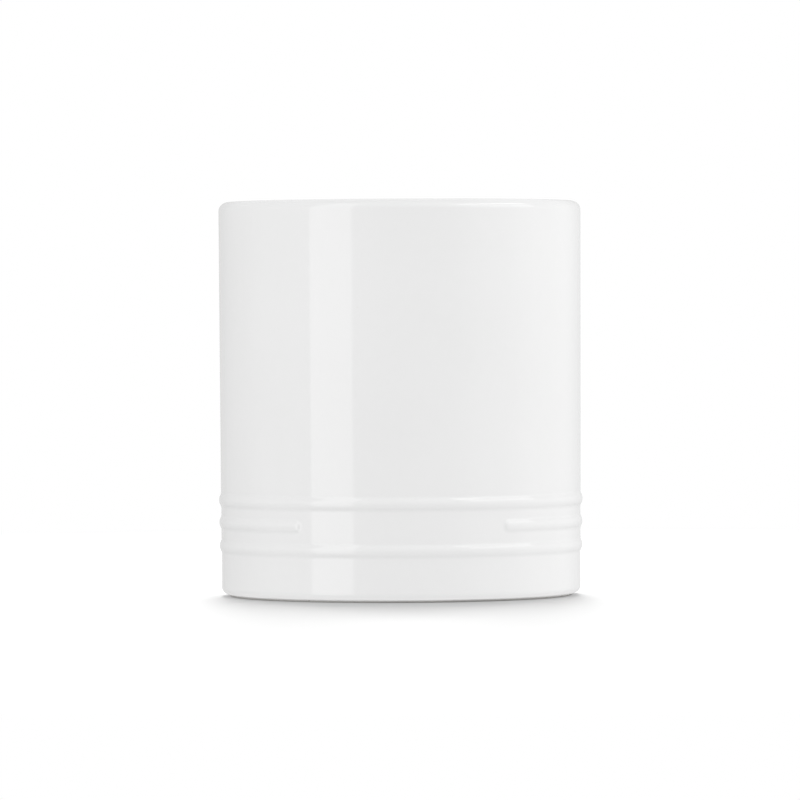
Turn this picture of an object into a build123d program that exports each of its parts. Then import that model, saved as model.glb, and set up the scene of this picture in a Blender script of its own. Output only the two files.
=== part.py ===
from build123d import *
import math
import os

# Utensil crock in white glazed stoneware, millimetres, +Z up.
# The origin is the middle of the plane that the foot stands on. -Y is the front, where the middle
# ring stops short on both sides and leaves a plain stretch of wall.
# The crock is one fired stoneware body. The coat poured inside it and the coat in the recess under
# it are solids of their own, which fill their place in the body face to face.
# Round stretches of the profiles are drawn as a few chords of an arc, which keeps the wide turned
# surfaces light.

# Main sizes
HEIGHT = 165.0
FLOOR = 7.0  # thickness of the bottom, from the recess to the inside
COAT = 0.4  # thickness of the glaze inside and underneath

# Outside radius of the wall: it tapers a little from the lip down, and steps in at the rings
RIM_RADIUS = 75.86
ABOVE_RINGS_RADIUS = 75.4
BETWEEN_RINGS_RADIUS = 75.27
BELOW_RINGS_RADIUS = 75.12

# Inside: a straight wall, rounded into the floor
INSIDE_RADIUS = 68.8
INSIDE_CORNER_RADIUS = 8.0
INSIDE_CORNER_CHORDS = 3

# Lip: an outer and an inner rounding that meet on its crown
LIP_OUTER_RADIUS = 3.9
LIP_INNER_RADIUS = RIM_RADIUS - INSIDE_RADIUS - LIP_OUTER_RADIUS
LIP_OUTER_CHORDS = 5
LIP_INNER_CHORDS = 4
LINER_TOP = HEIGHT - 6.0  # the liner coat ends at this height, just inside the lip

# Three raised rings, each a bead blended into the wall: height and radius of the crest
TOP_RING = (40.4, 76.22)
MIDDLE_RING = (31.0, 76.07)
BOTTOM_RING = (21.15, 76.0)
BEAD_RADIUS = 4.3
BLEND_RADIUS = 2.8
BEAD_CHORDS = 2  # on each side of the crest
BLEND_CHORDS = 1
GAP_HALF_ANGLE = 35.5  # from the front to the centre of the middle ring's round ends
RING_SINK = 0.12  # the middle ring's outline starts this far under the wall, so its ends close
RING_ROOT = 2.0  # how deep the middle ring reaches into the wall

# Base: a rounded corner over a bare foot ring, with a recess inside the ring
CORNER_RADIUS = 2.8
CORNER_CHORDS = 4
FOOT_HEIGHT = 1.0
FOOT_OUTER_RADIUS = 71.6
FOOT_INNER_RADIUS = 64.8
RECESS_DEPTH = 2.4
INSIDE_FLOOR = RECESS_DEPTH + FLOOR


def chords(centre, radius, start, turn, count):
    """Ends of the equal chords that stand for an arc. Angles are in degrees, from outward."""
    points = []
    for step in range(count + 1):
        angle = math.radians(start + turn * step / count)
        points.append((centre[0] + radius * math.cos(angle), centre[1] + radius * math.sin(angle)))
    return points


def half_ring(ring, wall_radius, side):
    """Outline of a ring from its crest to its foot on the wall, upwards for 1, down for -1."""
    height, crest_radius = ring
    reach = BEAD_RADIUS + BLEND_RADIUS
    turn = math.degrees(math.acos(1 - (crest_radius - wall_radius) / reach))
    bead_centre = (crest_radius - BEAD_RADIUS, height)
    bead = chords(bead_centre, BEAD_RADIUS, 0, side * turn, BEAD_CHORDS)
    foot_height = height + side * reach * math.sin(math.radians(turn))
    blend_centre = (wall_radius + BLEND_RADIUS, foot_height)
    blend = chords(blend_centre, BLEND_RADIUS, 180 + side * turn, -side * turn, BLEND_CHORDS)
    return bead + blend[1:]


def whole_ring(ring, radius_above, radius_below):
    """Outline of a ring from its upper foot down to its lower foot."""
    upper = half_ring(ring, radius_above, 1)
    lower = half_ring(ring, radius_below, -1)
    return upper[::-1] + lower[1:]


def inside_corner(inset):
    """Outline of the inside corner, from the wall down to the floor, drawn in by inset."""
    centre = (INSIDE_RADIUS - INSIDE_CORNER_RADIUS, INSIDE_FLOOR + INSIDE_CORNER_RADIUS)
    return chords(centre, INSIDE_CORNER_RADIUS + inset, 0, -90, INSIDE_CORNER_CHORDS)


def turned(points):
    """Solid turned about the crock's axis from a closed outline of radius and height."""
    return revolve(Plane.XZ * make_face(Polyline(*points, close=True)), Axis.Z)


def turned_body():
    """The stoneware with its lip, top and bottom rings, foot ring and hollows."""
    crown_radius = RIM_RADIUS - LIP_OUTER_RADIUS
    lip_outer_centre = (crown_radius, HEIGHT - LIP_OUTER_RADIUS)
    lip_inner_centre = (crown_radius, HEIGHT - LIP_INNER_RADIUS)
    corner_centre = (BELOW_RINGS_RADIUS - CORNER_RADIUS, FOOT_HEIGHT + CORNER_RADIUS)
    lip_inner = chords(lip_inner_centre, LIP_INNER_RADIUS, 180, -90, LIP_INNER_CHORDS)
    lip_outer = chords(lip_outer_centre, LIP_OUTER_RADIUS, 90, -90, LIP_OUTER_CHORDS)
    outline = lip_inner + lip_outer[1:]
    outline += whole_ring(TOP_RING, ABOVE_RINGS_RADIUS, BETWEEN_RINGS_RADIUS)
    outline += whole_ring(BOTTOM_RING, BETWEEN_RINGS_RADIUS, BELOW_RINGS_RADIUS)
    outline += chords(corner_centre, CORNER_RADIUS, 0, -90, CORNER_CHORDS)
    outline += [
        (FOOT_OUTER_RADIUS, FOOT_HEIGHT),
        (FOOT_OUTER_RADIUS, 0),
        (FOOT_INNER_RADIUS, 0),
        (FOOT_INNER_RADIUS, RECESS_DEPTH + COAT),
        (0, RECESS_DEPTH + COAT),
        (0, INSIDE_FLOOR - COAT),
    ]
    outline += inside_corner(COAT)[::-1]
    outline += [
        (INSIDE_RADIUS + COAT, LINER_TOP),
        (INSIDE_RADIUS, LINER_TOP),
    ]
    return turned(outline)


def middle_ring():
    """The ring round the back and sides, with half a turned knob as each of its ends."""
    height, crest_radius = MIDDLE_RING
    sunk_radius = BETWEEN_RINGS_RADIUS - RING_SINK
    root_radius = BETWEEN_RINGS_RADIUS - RING_ROOT
    outline = whole_ring(MIDDLE_RING, sunk_radius, sunk_radius)
    root = [(root_radius, outline[-1][1]), (root_radius, outline[0][1])]
    section = Plane.XZ * make_face(Polyline(*outline, *root, close=True))
    ring = Rot(0, 0, GAP_HALF_ANGLE - 90) * revolve(section, Axis.Z, 360 - 2 * GAP_HALF_ANGLE)
    half_outline = half_ring(MIDDLE_RING, sunk_radius, 1)
    half_root = [(root_radius, half_outline[-1][1]), (root_radius, height)]
    half_section = Plane.XZ * make_face(Polyline(*half_outline, *half_root, close=True))
    outward = Axis((0, 0, height), (1, 0, 0))
    end = Rot(0, 0, GAP_HALF_ANGLE - 90) * revolve(half_section, outward, 180)
    return ring + end + mirror(end, about=Plane.YZ)


def liner_glaze():
    """The coat inside, over the floor and up the wall to just below the lip."""
    outline = [(0, INSIDE_FLOOR - COAT)]
    outline += inside_corner(COAT)[::-1]
    outline += [(INSIDE_RADIUS + COAT, LINER_TOP), (INSIDE_RADIUS, LINER_TOP)]
    outline += inside_corner(0)
    outline += [(0, INSIDE_FLOOR)]
    return turned(outline)


def base_glaze():
    """The coat on the ceiling of the recess, inside the bare foot ring."""
    coat = Cylinder(FOOT_INNER_RADIUS, COAT, align=(Align.CENTER, Align.CENTER, Align.MIN))
    return Pos(0, 0, RECESS_DEPTH) * coat


nodes = {
    "stoneware_body": turned_body() + middle_ring(),
    "liner_glaze": liner_glaze(),
    "base_glaze": base_glaze(),
}

os.makedirs("parts", exist_ok=True)
for name, solid in nodes.items():
    export_step(solid, f"parts/{name}.step")
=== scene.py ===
import math

import bpy
from mathutils import Matrix, Vector


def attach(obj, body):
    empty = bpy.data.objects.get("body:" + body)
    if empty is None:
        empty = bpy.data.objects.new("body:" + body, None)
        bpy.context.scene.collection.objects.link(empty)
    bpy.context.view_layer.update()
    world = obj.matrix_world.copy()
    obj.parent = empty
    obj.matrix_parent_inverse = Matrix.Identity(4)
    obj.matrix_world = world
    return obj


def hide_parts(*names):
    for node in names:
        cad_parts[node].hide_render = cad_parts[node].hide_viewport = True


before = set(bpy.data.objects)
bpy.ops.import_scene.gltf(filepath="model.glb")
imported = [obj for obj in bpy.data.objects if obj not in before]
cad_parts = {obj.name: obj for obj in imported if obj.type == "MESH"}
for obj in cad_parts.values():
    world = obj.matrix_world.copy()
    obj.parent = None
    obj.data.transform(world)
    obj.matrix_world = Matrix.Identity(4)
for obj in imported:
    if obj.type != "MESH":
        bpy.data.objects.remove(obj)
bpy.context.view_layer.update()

# Utensil crock in white glazed stoneware. The sizes are those of the CAD source, in millimetres, and
# the meshes are made in metres. Angles are in degrees from the front (-Y), turning towards +X.
MM = 0.001

# Main sizes
HEIGHT = 165.0
FLOOR = 7.0
COAT = 0.4
RIM_RADIUS = 75.86
ABOVE_RINGS_RADIUS = 75.4
BETWEEN_RINGS_RADIUS = 75.27
BELOW_RINGS_RADIUS = 75.12
INSIDE_RADIUS = 68.8
INSIDE_CORNER_RADIUS = 8.0
LIP_OUTER_RADIUS = 3.9
LIP_INNER_RADIUS = RIM_RADIUS - INSIDE_RADIUS - LIP_OUTER_RADIUS
LINER_DEPTH = 6.0  # from the top of the lip down to the seam between the two coats
LINER_TOP = HEIGHT - LINER_DEPTH

# Raised rings: height and radius of the crest. The top ring's crest is 0.03 inside the solid's, which
# keeps the smooth ring within the solids' box.
TOP_RING = (40.4, 76.19)
MIDDLE_RING = (31.0, 76.07)
BOTTOM_RING = (21.15, 76.0)
BEAD_RADIUS = 4.3
BLEND_RADIUS = 2.8
GAP_HALF_ANGLE = 35.5

# Base
CORNER_RADIUS = 2.8
FOOT_HEIGHT = 1.0
FOOT_OUTER_RADIUS = 71.6
FOOT_INNER_RADIUS = 64.8
FOOT_EDGE_RADIUS = 0.3
RECESS_DEPTH = 2.4
RECESS_FILLET = 1.1
INSIDE_FLOOR = RECESS_DEPTH + FLOOR

# Mesh: columns round the crock, and finer ones within a spread of the middle ring's ends
TURN_STEP = 1.25
END_STEP = 0.2
END_SPREAD = 3.4
ANGLE_DIGITS = 6  # columns that agree to this many decimals are one

# Mesh: rows of the section
MIDDLE_ROWS = 28
RING_STEPS = 6
LIP_INNER_STEPS = 12
LIP_OUTER_STEPS = 16
CORNER_STEPS = 14
FOOT_EDGE_STEPS = 5
FILLET_STEPS = 8
LINER_STEPS = 16
UNDER_COAT_STEPS = 12
SUPPORT = 0.35  # rows this close to the ends of a straight stretch keep its shading straight
SUPPORTED_LENGTH = 4 * SUPPORT  # a shorter stretch has no support rows
SHARP_ANGLE = 38.0


def arc(centre, radius, start, turn, count):
    """Points of an arc in the section. Angles are in degrees, from outward."""
    points = []
    for step in range(count + 1):
        angle = math.radians(start + turn * step / count)
        points.append((centre[0] + radius * math.cos(angle), centre[1] + radius * math.sin(angle)))
    return points


def straight(start, end):
    """Points of a straight stretch of the section, with a support row near each end."""
    length = math.dist(start, end)
    shares = [0.0, 1.0]
    if length > SUPPORTED_LENGTH:
        shares = [0.0, SUPPORT / length, 0.5, 1 - SUPPORT / length, 1.0]
    return [(start[0] + (end[0] - start[0]) * s, start[1] + (end[1] - start[1]) * s) for s in shares]


def half_ring(ring, wall_radius, side):
    """Points from a ring's crest to its foot on the wall, upwards for 1, down for -1."""
    height, crest_radius = ring
    reach = BEAD_RADIUS + BLEND_RADIUS
    turn = math.degrees(math.acos(1 - (crest_radius - wall_radius) / reach))
    bead = arc((crest_radius - BEAD_RADIUS, height), BEAD_RADIUS, 0, side * turn, RING_STEPS)
    foot_height = height + side * reach * math.sin(math.radians(turn))
    blend_centre = (wall_radius + BLEND_RADIUS, foot_height)
    blend = arc(blend_centre, BLEND_RADIUS, 180 + side * turn, -side * turn, RING_STEPS)
    return bead + blend[1:]


def whole_ring(ring, radius_above, radius_below):
    """Points of a ring from its upper foot down to its lower foot."""
    return half_ring(ring, radius_above, 1)[::-1] + half_ring(ring, radius_below, -1)[1:]


def ring_relief(ring, wall_radius, distance):
    """How far a ring stands out from the wall at a distance from its middle line."""
    crest_radius = ring[1]
    reach = BEAD_RADIUS + BLEND_RADIUS
    turn = math.acos(1 - (crest_radius - wall_radius) / reach)
    half_width = reach * math.sin(turn)
    if distance >= half_width:
        return 0.0
    if distance <= BEAD_RADIUS * math.sin(turn):
        return crest_radius - wall_radius - BEAD_RADIUS + math.sqrt(BEAD_RADIUS**2 - distance**2)
    return BLEND_RADIUS - math.sqrt(BLEND_RADIUS**2 - (half_width - distance) ** 2)


def middle_relief(height, angle):
    """The middle ring's relief at a point of the wall, with its rounded ends beside the front."""
    past_end = max(0.0, GAP_HALF_ANGLE - abs(angle))
    along = math.radians(past_end) * BETWEEN_RINGS_RADIUS
    return ring_relief(MIDDLE_RING, BETWEEN_RINGS_RADIUS, math.hypot(height - MIDDLE_RING[0], along))


def turn_angles():
    """Angles of the mesh's columns, closer together round the middle ring's ends."""
    angles = set()
    for step in range(round(360 / TURN_STEP)):
        angle = -180 + step * TURN_STEP
        if abs(abs(angle) - GAP_HALF_ANGLE) > END_SPREAD:
            angles.add(round(angle, ANGLE_DIGITS))
    fine = round(2 * END_SPREAD / END_STEP)
    for side in (-1, 1):
        for step in range(fine + 1):
            angle = side * GAP_HALF_ANGLE - END_SPREAD + step * END_STEP
            angles.add(round(angle, ANGLE_DIGITS))
    return sorted(angles)


def lathe(name, section, relief=None):
    """Closed mesh turned from points of radius and height. Relief pushes points outwards."""
    angles = turn_angles()
    vertices, rows = [], []
    for radius, height in section:
        if radius == 0:
            vertices.append((0, 0, height * MM))
            rows.append([len(vertices) - 1])
            continue
        row = []
        for angle in angles:
            reach = (radius + (relief(height, angle) if relief else 0)) * MM
            turn = math.radians(angle)
            vertices.append((reach * math.sin(turn), -reach * math.cos(turn), height * MM))
            row.append(len(vertices) - 1)
        rows.append(row)
    faces = []
    for upper, lower in zip(rows, rows[1:] + rows[:1]):
        if len(upper) == 1 and len(lower) == 1:
            continue
        for i in range(len(angles)):
            j = (i + 1) % len(angles)
            if len(upper) == 1:
                faces.append((upper[0], lower[i], lower[j]))
            elif len(lower) == 1:
                faces.append((upper[i], lower[0], upper[j]))
            else:
                faces.append((upper[i], lower[i], lower[j], upper[j]))
    mesh = bpy.data.meshes.new(name)
    mesh.from_pydata(vertices, [], faces)
    mesh.update()
    mesh.polygons.foreach_set("use_smooth", [True] * len(mesh.polygons))
    mesh.set_sharp_from_angle(angle=math.radians(SHARP_ANGLE))
    piece = bpy.data.objects.new(name, mesh)
    bpy.context.scene.collection.objects.link(piece)
    return piece


def outside_section():
    """The glazed surface from the seam inside the lip, over it and down to the foot ring."""
    crown_radius = RIM_RADIUS - LIP_OUTER_RADIUS
    inner_centre = (crown_radius, HEIGHT - LIP_INNER_RADIUS)
    outer_centre = (crown_radius, HEIGHT - LIP_OUTER_RADIUS)
    corner_centre = (BELOW_RINGS_RADIUS - CORNER_RADIUS, FOOT_HEIGHT + CORNER_RADIUS)
    top_ring = whole_ring(TOP_RING, ABOVE_RINGS_RADIUS, BETWEEN_RINGS_RADIUS)
    bottom_ring = whole_ring(BOTTOM_RING, BETWEEN_RINGS_RADIUS, BELOW_RINGS_RADIUS)
    middle_width = half_ring(MIDDLE_RING, BETWEEN_RINGS_RADIUS, 1)[-1][1] - MIDDLE_RING[0]
    middle = []
    for step in range(MIDDLE_ROWS + 1):
        height = MIDDLE_RING[0] + middle_width * (1 - 2 * step / MIDDLE_ROWS)
        middle.append((BETWEEN_RINGS_RADIUS, height))
    lip = arc(inner_centre, LIP_INNER_RADIUS, 180, -90, LIP_INNER_STEPS)
    lip += arc(outer_centre, LIP_OUTER_RADIUS, 90, -90, LIP_OUTER_STEPS)[1:]
    corner = arc(corner_centre, CORNER_RADIUS, 0, -90, CORNER_STEPS)
    points = [(INSIDE_RADIUS, LINER_TOP)] + lip
    for stretch in (top_ring, middle, bottom_ring, corner):
        points += straight(points[-1], stretch[0])[1:]
        points += stretch[1:]
    points.append((FOOT_OUTER_RADIUS, FOOT_HEIGHT))
    return points


def inside_corner(inset, count):
    """Section of the inside corner from the wall to the floor, drawn in by inset."""
    centre = (INSIDE_RADIUS - INSIDE_CORNER_RADIUS, INSIDE_FLOOR + INSIDE_CORNER_RADIUS)
    return arc(centre, INSIDE_CORNER_RADIUS + inset, 0, -90, count)


def make_crock():
    """The body with its outside glaze and lip. Its inside and recess faces lie under the coats."""
    section = outside_section()
    section += [
        (FOOT_INNER_RADIUS, FOOT_HEIGHT),
        (FOOT_INNER_RADIUS, RECESS_DEPTH + COAT),
        (0, RECESS_DEPTH + COAT),
        (0, INSIDE_FLOOR - COAT),
    ]
    section += inside_corner(COAT, UNDER_COAT_STEPS)[::-1]
    section += [(INSIDE_RADIUS + COAT, LINER_TOP)]
    return lathe("glazed_crock", section, middle_relief)


def make_foot():
    """The bare ring that the crock stands on, with softened edges."""
    inner_centre = (FOOT_INNER_RADIUS + FOOT_EDGE_RADIUS, FOOT_EDGE_RADIUS)
    outer_centre = (FOOT_OUTER_RADIUS - FOOT_EDGE_RADIUS, FOOT_EDGE_RADIUS)
    section = [(FOOT_OUTER_RADIUS, FOOT_HEIGHT)]
    section += arc(outer_centre, FOOT_EDGE_RADIUS, 0, -90, FOOT_EDGE_STEPS)
    section += arc(inner_centre, FOOT_EDGE_RADIUS, 270, -90, FOOT_EDGE_STEPS)
    section += [(FOOT_INNER_RADIUS, FOOT_HEIGHT)]
    return lathe("foot_ring", section)


def make_liner():
    """The coat inside, over the floor and up to the seam below the lip."""
    section = [(0, INSIDE_FLOOR)] + inside_corner(0, LINER_STEPS)[::-1]
    section += straight(section[-1], (INSIDE_RADIUS, LINER_TOP))[1:]
    section += [(INSIDE_RADIUS + COAT, LINER_TOP)]
    section += inside_corner(COAT, UNDER_COAT_STEPS) + [(0, INSIDE_FLOOR - COAT)]
    return lathe("liner_coat", section)


def make_base_coat():
    """The coat on the recess's ceiling, pooled in its corner."""
    fillet_centre = (FOOT_INNER_RADIUS - RECESS_FILLET, RECESS_DEPTH - RECESS_FILLET)
    section = [(0, RECESS_DEPTH + COAT), (FOOT_INNER_RADIUS, RECESS_DEPTH + COAT)]
    section += arc(fillet_centre, RECESS_FILLET, 0, 90, FILLET_STEPS) + [(0, RECESS_DEPTH)]
    return lathe("base_coat", section)


# Materials. Coordinates are in metres, so a pattern's scale is how many of its cells fit in a metre.
MIX_COLOURS = (6, 7)  # a mix node's sockets for its two colours, and for the result
MIX_RESULT = 2


def add(tree, kind, inputs, **settings):
    """Add a node with its settings. An input given as a socket is linked, any other is set."""
    made = tree.nodes.new(kind)
    for name, value in settings.items():
        setattr(made, name, value)
    for name, value in inputs.items():
        if isinstance(value, bpy.types.NodeSocket):
            tree.links.new(value, made.inputs[name])
        else:
            made.inputs[name].default_value = value
    return made


def calculate(tree, operation, first, second=0.0, third=0.0):
    """Result of a sum on values or sockets."""
    return add(tree, "ShaderNodeMath", {0: first, 1: second, 2: third}, operation=operation).outputs[0]


def smooth(tree, value, low, high, at_low=0.0, at_high=1.0):
    """Smooth change from at_low to at_high while the value goes from low to high."""
    inputs = {"Value": value, "From Min": low, "From Max": high, "To Min": at_low, "To Max": at_high}
    return add(tree, "ShaderNodeMapRange", inputs, interpolation_type="SMOOTHSTEP").outputs[0]


def noise(tree, place, scale, detail):
    """Soft random pattern, from 0 to 1."""
    inputs = {"Vector": place, "Scale": scale, "Detail": detail}
    return add(tree, "ShaderNodeTexNoise", inputs).outputs[0]


def blend_colours(tree, share, first, second):
    """Colour between two by a share from 0 to 1. The colours are sockets or red, green and blue."""
    mix = add(tree, "ShaderNodeMix", {0: share}, data_type="RGBA")
    for place, colour in zip(MIX_COLOURS, (first, second)):
        if isinstance(colour, bpy.types.NodeSocket):
            tree.links.new(colour, mix.inputs[place])
        else:
            mix.inputs[place].default_value = (*colour, 1.0)
    return mix.outputs[MIX_RESULT]


def spots(tree, place, scale, width, rarity):
    """Round spots, 1 inside and 0 outside, in the cells whose random value is over the rarity."""
    cells = add(tree, "ShaderNodeTexVoronoi", {"Vector": place, "Scale": scale})
    chance = add(tree, "ShaderNodeSeparateColor", {"Color": cells.outputs["Color"]}).outputs[0]
    near = smooth(tree, cells.outputs["Distance"], width / 2, width, 1.0, 0.0)
    return calculate(tree, "MULTIPLY", near, calculate(tree, "GREATER_THAN", chance, rarity))


def bump(tree, height, distance, normal=None):
    """Normal of a surface with a height pattern that is this many metres deep."""
    inputs = {"Height": height, "Distance": distance}
    if normal:
        inputs["Normal"] = normal
    return add(tree, "ShaderNodeBump", inputs).outputs[0]


def new_tree(owner):
    """Empty node tree of a material or world."""
    owner.use_nodes = True
    owner.node_tree.nodes.clear()
    return owner.node_tree


def surface(tree, inputs):
    """Close a material's tree with one shader."""
    shader = add(tree, "ShaderNodeBsdfPrincipled", inputs)
    add(tree, "ShaderNodeOutputMaterial", {"Surface": shader.outputs[0]})


# Glaze
GLAZE_IOR = 1.5
GLAZE_LIGHT = (0.846, 0.846, 0.846)
GLAZE_DARK = (0.833, 0.833, 0.832)
GLAZE_ROUGHNESS = (0.05, 0.1)
CLOUD_SCALE = 16.0
CLOUD_DETAIL = 2.0
CLOUD_SHARE = 0.7  # the rest of the tone is mottle
MOTTLE_SCALE = 210.0
MOTTLE_DETAIL = 3.0
GLAZE_SPREAD = (0.3, 0.7)  # values of the tone that stand for dark and light
SHINE_SPREAD = (0.25, 0.75)  # values of the mottle that stand for the two roughnesses
RIPPLE_SCALE = 60.0
RIPPLE_DETAIL = 1.0
RIPPLE_DEPTH = 0.00001
POOLED_RIPPLE_DEPTH = 0.00003
PEEL_SCALE = 330.0
PEEL_DEPTH = 0.000006
PINHOLE_SCALE = 60.0
PINHOLE_RARITY = 0.88
PINHOLE_WIDTH = 0.016  # as a share of the cell
PINHOLE_DEPTH = 0.00004
PINHOLE_TINT = 0.25
CLAY_SHADOW = (0.55, 0.52, 0.47)


def glaze_material(name, light, dark, ripple_depth):
    """Glossy white glaze with faint clouds, a slow ripple, fine orange peel and rare pinholes."""
    material = bpy.data.materials.new(name)
    tree = new_tree(material)
    place = add(tree, "ShaderNodeTexCoord", {}).outputs["Object"]
    clouds = noise(tree, place, CLOUD_SCALE, CLOUD_DETAIL)
    mottle = noise(tree, place, MOTTLE_SCALE, MOTTLE_DETAIL)
    mottle_part = calculate(tree, "MULTIPLY", mottle, 1 - CLOUD_SHARE)
    tone = calculate(tree, "MULTIPLY_ADD", clouds, CLOUD_SHARE, mottle_part)
    colour = blend_colours(tree, smooth(tree, tone, *GLAZE_SPREAD), dark, light)
    pinholes = spots(tree, place, PINHOLE_SCALE, PINHOLE_WIDTH, PINHOLE_RARITY)
    tint = calculate(tree, "MULTIPLY", pinholes, PINHOLE_TINT)
    colour = blend_colours(tree, tint, colour, CLAY_SHADOW)
    normal = bump(tree, noise(tree, place, RIPPLE_SCALE, RIPPLE_DETAIL), ripple_depth)
    normal = bump(tree, noise(tree, place, PEEL_SCALE, RIPPLE_DETAIL), PEEL_DEPTH, normal)
    normal = bump(tree, calculate(tree, "SUBTRACT", 1.0, pinholes), PINHOLE_DEPTH, normal)
    shine = smooth(tree, mottle, *SHINE_SPREAD, *GLAZE_ROUGHNESS)
    surface(tree, {"Base Color": colour, "Roughness": shine, "IOR": GLAZE_IOR, "Normal": normal})
    return material


# Bare fired clay, grey, with the glaze thinning out over its upper edge. The grey is painted shade: the
# clay is darkened to draw the dark line where the foot meets the floor
SHADED_CLAY_LIGHT = (0.58, 0.57, 0.55)
SHADED_CLAY_DARK = (0.5, 0.49, 0.47)
CLAY_SPECK = (0.34, 0.32, 0.29)
CLAY_SPREAD = (0.35, 0.65)  # values of the tone that stand for dark and light
CLAY_ROUGHNESS = (0.82, 0.95)
CLAY_CLOUD_SCALE = 30.0
CLAY_CLOUD_DETAIL = 3.0
CLAY_GRAIN_SCALE = 1400.0
CLAY_GRAIN_DETAIL = 4.0
CLAY_GRAIN_DEPTH = 0.00005
CLAY_GRAIN_SPREAD = (0.3, 0.7)
CLAY_SPECK_SCALE = 420.0
CLAY_SPECK_RARITY = 0.86
CLAY_SPECK_WIDTH = 0.3
WIPE_SCALE = 900.0
WIPE_DETAIL = 2.0
WIPE_DEPTH = 0.00003
WIPE_DRIFT = 0.0012
FEATHER = (0.84, 0.838, 0.83)
FEATHER_RISE = (0.0006, 0.0008)  # the glaze thins out over the clay between these heights


def shaded_clay_material(name):
    """Matt bare clay with grain, specks, the turned marks of a sponge and a thin edge of glaze. Its grey
    tones are painted contact shade.
    """
    material = bpy.data.materials.new(name)
    tree = new_tree(material)
    place = add(tree, "ShaderNodeTexCoord", {}).outputs["Object"]
    axes = add(tree, "ShaderNodeSeparateXYZ", {"Vector": place})
    grain = noise(tree, place, CLAY_GRAIN_SCALE, CLAY_GRAIN_DETAIL)
    clouds = noise(tree, place, CLAY_CLOUD_SCALE, CLAY_CLOUD_DETAIL)
    squared = calculate(tree, "MULTIPLY", axes.outputs["X"], axes.outputs["X"])
    squared = calculate(tree, "MULTIPLY_ADD", axes.outputs["Y"], axes.outputs["Y"], squared)
    radius = calculate(tree, "MULTIPLY_ADD", clouds, WIPE_DRIFT, calculate(tree, "SQRT", squared))
    turned_place = add(tree, "ShaderNodeCombineXYZ", {"X": radius}).outputs[0]
    wipes = noise(tree, turned_place, WIPE_SCALE, WIPE_DETAIL)
    patterns = (clouds, grain, wipes)
    tone = 0.0
    for pattern in patterns:
        tone = calculate(tree, "MULTIPLY_ADD", pattern, 1 / len(patterns), tone)
    # Painted shade: the clay's two grey tones are darkened to stand for the shade where the foot meets
    # the floor
    colour = blend_colours(tree, smooth(tree, tone, *CLAY_SPREAD), SHADED_CLAY_DARK, SHADED_CLAY_LIGHT)
    specks = spots(tree, place, CLAY_SPECK_SCALE, CLAY_SPECK_WIDTH, CLAY_SPECK_RARITY)
    colour = blend_colours(tree, specks, colour, CLAY_SPECK)
    feather = smooth(tree, axes.outputs["Z"], *FEATHER_RISE)
    colour = blend_colours(tree, feather, colour, FEATHER)
    normal = bump(tree, grain, CLAY_GRAIN_DEPTH)
    normal = bump(tree, wipes, WIPE_DEPTH, normal)
    matt = smooth(tree, grain, *CLAY_GRAIN_SPREAD, *CLAY_ROUGHNESS)
    surface(tree, {"Base Color": colour, "Roughness": matt, "Normal": normal})
    return material


def finish(piece, node, material):
    """Put a piece in place of its CAD node, with its finish."""
    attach(piece, "root")
    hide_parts(node)
    piece.data.materials.append(material)


white_glaze = glaze_material("white_glaze", GLAZE_LIGHT, GLAZE_DARK, RIPPLE_DEPTH)
pooled_glaze = glaze_material("pooled_glaze", GLAZE_LIGHT, GLAZE_DARK, POOLED_RIPPLE_DEPTH)
finish(make_crock(), "stoneware_body", white_glaze)
# The foot's clay has painted contact shade in its colour
finish(make_foot(), "stoneware_body", shaded_clay_material("bare_stoneware"))
finish(make_liner(), "liner_glaze", white_glaze)
finish(make_base_coat(), "base_glaze", pooled_glaze)

# Floor. Suns that light nothing else keep it white near the crock, with a soft shadow in front, and
# farther out it is plain white. The light that a studio table sends back up comes from the lower half
# of the world instead. To that light the floor is clear, apart from rays that meet it beside the foot
# within a short reach, which keep the contact dark.
FLOOR_HALF = 6.0
FLOOR_DROP = 0.05  # keeps the floor clear of the foot's own face
FLOOR_TONE = 0.12
FLOOR_GLOW = 0.38
PLAIN_FROM = (0.5, 0.8)  # beyond these radii in metres the floor is plain white
CONTACT_REACH = 1.2
SUN_WIDTH = 16.0
FLOOR_SUNS = (  # turn from straight behind the crock, elevation and strength
    (0.0, 20.0, 10.5),
    (-25.0, 25.0, 4.0),
    (25.0, 25.0, 4.0),
    (0.0, 54.0, 3.2),
    (0.0, 70.0, 3.6),
    (0.0, 83.0, 4.4),
)


def floor_look(tree, radius, seen):
    """Shader of the floor: lit by its suns near the crock, with a glow that only the camera sees."""
    lit = add(tree, "ShaderNodeBsdfDiffuse", {"Color": (FLOOR_TONE, FLOOR_TONE, FLOOR_TONE, 1.0)})
    glow_strength = calculate(tree, "MULTIPLY", seen, FLOOR_GLOW)
    glow = add(tree, "ShaderNodeEmission", {"Strength": glow_strength})
    near_look = add(tree, "ShaderNodeAddShader", {0: lit.outputs[0], 1: glow.outputs[0]})
    plain_look = add(tree, "ShaderNodeEmission", {"Strength": 1.0})
    looks = {0: smooth(tree, radius, *PLAIN_FROM), 1: near_look.outputs[0], 2: plain_look.outputs[0]}
    return add(tree, "ShaderNodeMixShader", looks).outputs[0]


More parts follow.
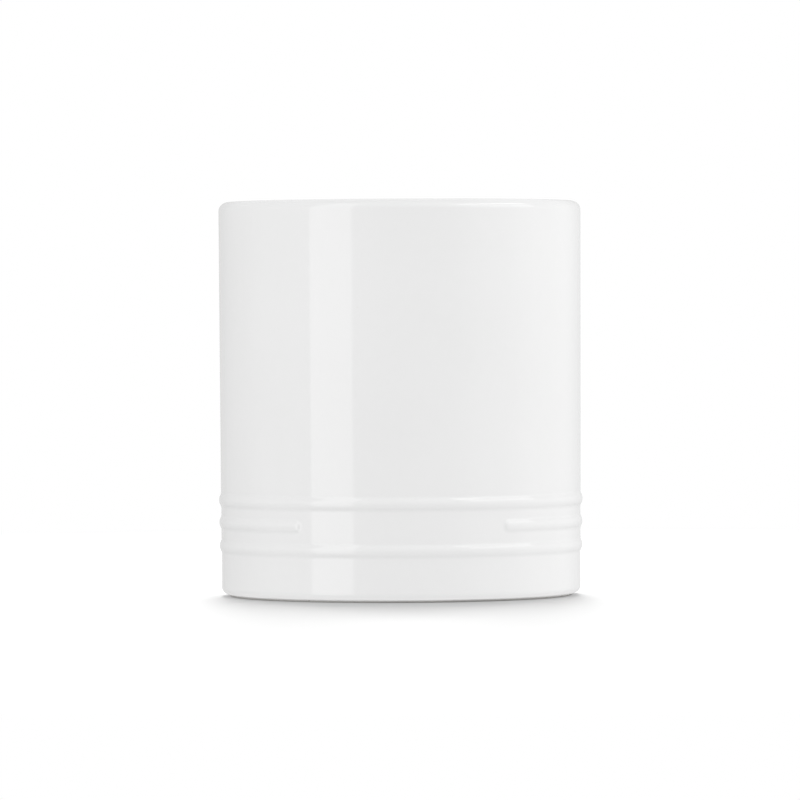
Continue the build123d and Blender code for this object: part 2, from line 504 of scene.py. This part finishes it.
def floor_material():
    """White to the camera from above, and clear from below and to light from the world."""
    material = bpy.data.materials.new("floor")
    tree = new_tree(material)
    ray = add(tree, "ShaderNodeLightPath", {})
    seen = ray.outputs["Is Camera Ray"]
    place = add(tree, "ShaderNodeTexCoord", {}).outputs["Object"]
    radius = add(tree, "ShaderNodeVectorMath", {0: place}, operation="LENGTH").outputs["Value"]
    close = calculate(tree, "LESS_THAN", ray.outputs["Ray Length"], CONTACT_REACH * MM)
    foot_radius = (FOOT_OUTER_RADIUS - FOOT_EDGE_RADIUS) * MM
    beside_foot = calculate(tree, "GREATER_THAN", radius, foot_radius)
    contact = calculate(tree, "MULTIPLY", close, beside_foot)
    shown = calculate(tree, "MAXIMUM", seen, contact)
    under = add(tree, "ShaderNodeNewGeometry", {}).outputs["Backfacing"]
    hidden = calculate(tree, "MAXIMUM", under, calculate(tree, "SUBTRACT", 1.0, shown))
    clear = add(tree, "ShaderNodeBsdfTransparent", {})
    sides = {0: hidden, 1: floor_look(tree, radius, seen), 2: clear.outputs[0]}
    surface_mix = add(tree, "ShaderNodeMixShader", sides)
    add(tree, "ShaderNodeOutputMaterial", {"Surface": surface_mix.outputs[0]})
    return material


def make_floor():
    """Square floor just under the foot's plane."""
    signs = ((-1, -1), (1, -1), (1, 1), (-1, 1))
    corners = [(x * FLOOR_HALF, y * FLOOR_HALF, -FLOOR_DROP * MM) for x, y in signs]
    mesh = bpy.data.meshes.new("floor")
    mesh.from_pydata(corners, [], [(0, 1, 2, 3)])
    mesh.materials.append(floor_material())
    floor = bpy.data.objects.new("floor", mesh)
    bpy.context.scene.collection.objects.link(floor)
    return floor


def light_floor(floor):
    """Suns from behind the crock that light only the floor."""
    lit_by_suns = bpy.data.collections.new("lit_by_suns")
    lit_by_suns.objects.link(floor)
    for turn, elevation, strength in FLOOR_SUNS:
        data = bpy.data.lights.new("floor_sun", "SUN")
        data.angle = math.radians(SUN_WIDTH)
        data.energy = strength
        sun = bpy.data.objects.new("floor_sun", data)
        bpy.context.scene.collection.objects.link(sun)
        sun.rotation_euler = (math.radians(elevation - 90), 0, math.radians(-turn))
        sun.light_linking.receiver_collection = lit_by_suns


light_floor(make_floor())

# World: soft studio light in bands of elevation, from straight below to straight above. The four
# bands between the two have a base level, to which the right, the left and the back add some light.
NADIR_LEVEL = 1.15
TOP_LEVEL = 0.51
BAND_EDGES = (-60.0, -25.0, -3.0, 20.0, 60.0)  # elevations between the bands
BAND_SOFTNESS = 7.5
SIDES = ((90.0, 75.0), (-60.0, 90.0), (180.0, 60.0))  # turn of the middle of each, and half its width
BANDS = (  # base level, and what each side adds
    (0.7, (0.4, 0.0, 0.25)),
    (0.4, (0.75, 0.2, 0.4)),
    (0.55, (0.85, 0.5, 0.2)),
    (0.8, (0.1, 0.05, 0.15)),
)
RAMP_STEPS = 12
LEVEL_RANGE = 2.0  # ramps hold levels as a share of this


def band_level(angle, base, added):
    """Light level of a band at an angle from the front. What a side adds fades out from its middle."""
    level = base
    for (middle, half_width), most in zip(SIDES, added):
        away = abs((angle - middle + 180) % 360 - 180)
        if away < half_width:
            level += most * (1 + math.cos(math.pi * away / half_width)) / 2
    return level


def band(tree, turn, base, added):
    """Light level of a band at a turn round the crock, which goes from 0 to 1 and starts at the back."""
    ramp = add(tree, "ShaderNodeValToRGB", {"Fac": turn})
    ramp.color_ramp.interpolation = "EASE"
    stops = ramp.color_ramp.elements
    stops.remove(stops[1])
    for step in range(RAMP_STEPS + 1):
        position = step / RAMP_STEPS
        stop = stops[0] if step == 0 else stops.new(position)
        stop.position = position
        share = band_level(360 * position - 180, base, added) / LEVEL_RANGE
        stop.color = (share, share, share, 1.0)
    return calculate(tree, "MULTIPLY", ramp.outputs[0], LEVEL_RANGE)


def make_world():
    """Studio light all round, and plain white to the camera."""
    world = bpy.data.worlds.new("studio")
    bpy.context.scene.world = world
    tree = new_tree(world)
    direction = add(tree, "ShaderNodeTexCoord", {}).outputs["Generated"]
    axes = add(tree, "ShaderNodeSeparateXYZ", {"Vector": direction})
    backwards = calculate(tree, "MULTIPLY", axes.outputs["Y"], -1.0)
    angle = calculate(tree, "ARCTAN2", axes.outputs["X"], backwards)
    turn = calculate(tree, "MULTIPLY_ADD", angle, 1 / (2 * math.pi), 0.5)
    elevation = calculate(tree, "ARCSINE", axes.outputs["Z"])
    level = NADIR_LEVEL
    upper_levels = [band(tree, turn, base, added) for base, added in BANDS] + [TOP_LEVEL]
    for edge, upper in zip(BAND_EDGES, upper_levels):
        low, high = math.radians(edge - BAND_SOFTNESS), math.radians(edge + BAND_SOFTNESS)
        share = smooth(tree, elevation, low, high)
        step = calculate(tree, "SUBTRACT", upper, level)
        level = calculate(tree, "MULTIPLY_ADD", share, step, level)
    seen = add(tree, "ShaderNodeLightPath", {}).outputs["Is Camera Ray"]
    to_white = calculate(tree, "SUBTRACT", 1.0, level)
    level = calculate(tree, "MULTIPLY_ADD", seen, to_white, level)
    light = add(tree, "ShaderNodeBackground", {"Color": (1.0, 1.0, 1.0, 1.0), "Strength": level})
    add(tree, "ShaderNodeOutputWorld", {"Surface": light.outputs[0]})


make_world()

# Lamps: a tall strip at the left, and three wide panels one above the other, high on the right.
# Distances and sizes are in metres.
STRIP_TURN = -43.97
STRIP_DISTANCE = 1.4
STRIP_CENTRE = 0.8
STRIP_WIDTH = 0.696
STRIP_HEIGHT = 2.8
STRIP_RADIANCE = 1.25
PANEL_TURN = 70.0
PANEL_DISTANCE = 1.6
PANEL_WIDTH = 1.35
PANEL_HEIGHT = 0.28
PANELS = ((46.0, 2.52), (36.0, 0.57), (26.0, 1.76))  # elevation and radiance


def round_the_crock(turn, distance, height):
    """Place at a turn from the front, a level distance from the axis and a height, in metres."""
    angle = math.radians(turn)
    return (distance * math.sin(angle), -distance * math.cos(angle), height)


def area_lamp(name, place, target, width, height, radiance):
    """Soft lamp at a place, facing a target, hidden from the camera."""
    data = bpy.data.lights.new(name, "AREA")
    data.shape = "RECTANGLE"
    data.size = width
    data.size_y = height
    data.energy = radiance * math.pi * width * height
    lamp = bpy.data.objects.new(name, data)
    bpy.context.scene.collection.objects.link(lamp)
    lamp.location = place
    lamp.rotation_euler = (Vector(target) - Vector(place)).to_track_quat("-Z", "Y").to_euler()
    lamp.visible_camera = False


def make_lamps():
    """The strip, upright and level with its target, and the panels, tilted down at the crock."""
    place = round_the_crock(STRIP_TURN, STRIP_DISTANCE, STRIP_CENTRE)
    target = (0, 0, STRIP_CENTRE)
    area_lamp("strip_lamp", place, target, STRIP_WIDTH, STRIP_HEIGHT, STRIP_RADIANCE)
    for elevation, radiance in PANELS:
        rise = math.radians(elevation)
        level_distance = PANEL_DISTANCE * math.cos(rise)
        place = round_the_crock(PANEL_TURN, level_distance, PANEL_DISTANCE * math.sin(rise))
        area_lamp("corner_lamp", place, (0, 0, 0), PANEL_WIDTH, PANEL_HEIGHT, radiance)


make_lamps()

# Camera, fitted to the photograph, which is square. Lengths are in metres, except the sensor's width,
# which is in millimetres. Rows and columns are in the photograph's pixels.
IMAGE_SIZE = 800.0
SENSOR = 36.0
FOCAL_PIXELS = 6320.0
CAMERA_DISTANCE = 2.650
CAMERA_HEIGHT = 0.1195
HORIZON_ROW = 310.15
AXIS_COLUMN = 400.33
CAMERA_TURN = 0.47
CAMERA_ROLL = -0.28
CLIP_START = 0.1
CLIP_END = 50.0


def make_camera():
    """Long lens at the height of the crock's upper wall, tilted a little down."""
    data = bpy.data.cameras.new("camera")
    data.sensor_width = SENSOR
    data.lens = SENSOR * FOCAL_PIXELS / IMAGE_SIZE
    data.clip_start = CLIP_START
    data.clip_end = CLIP_END
    camera = bpy.data.objects.new("camera", data)
    bpy.context.scene.collection.objects.link(camera)
    camera.location = round_the_crock(-CAMERA_TURN, CAMERA_DISTANCE, CAMERA_HEIGHT)
    down = math.atan((IMAGE_SIZE / 2 - HORIZON_ROW) / FOCAL_PIXELS)
    aside = math.atan((AXIS_COLUMN - IMAGE_SIZE / 2) / FOCAL_PIXELS)
    camera.rotation_euler = (math.pi / 2 - down, 0, aside - math.radians(CAMERA_TURN))
    bpy.context.view_layer.update()
    camera.matrix_world = camera.matrix_world @ Matrix.Rotation(math.radians(CAMERA_ROLL), 4, "Z")
    bpy.context.scene.camera = camera


make_camera()
bpy.context.scene.view_settings.view_transform = "Standard"
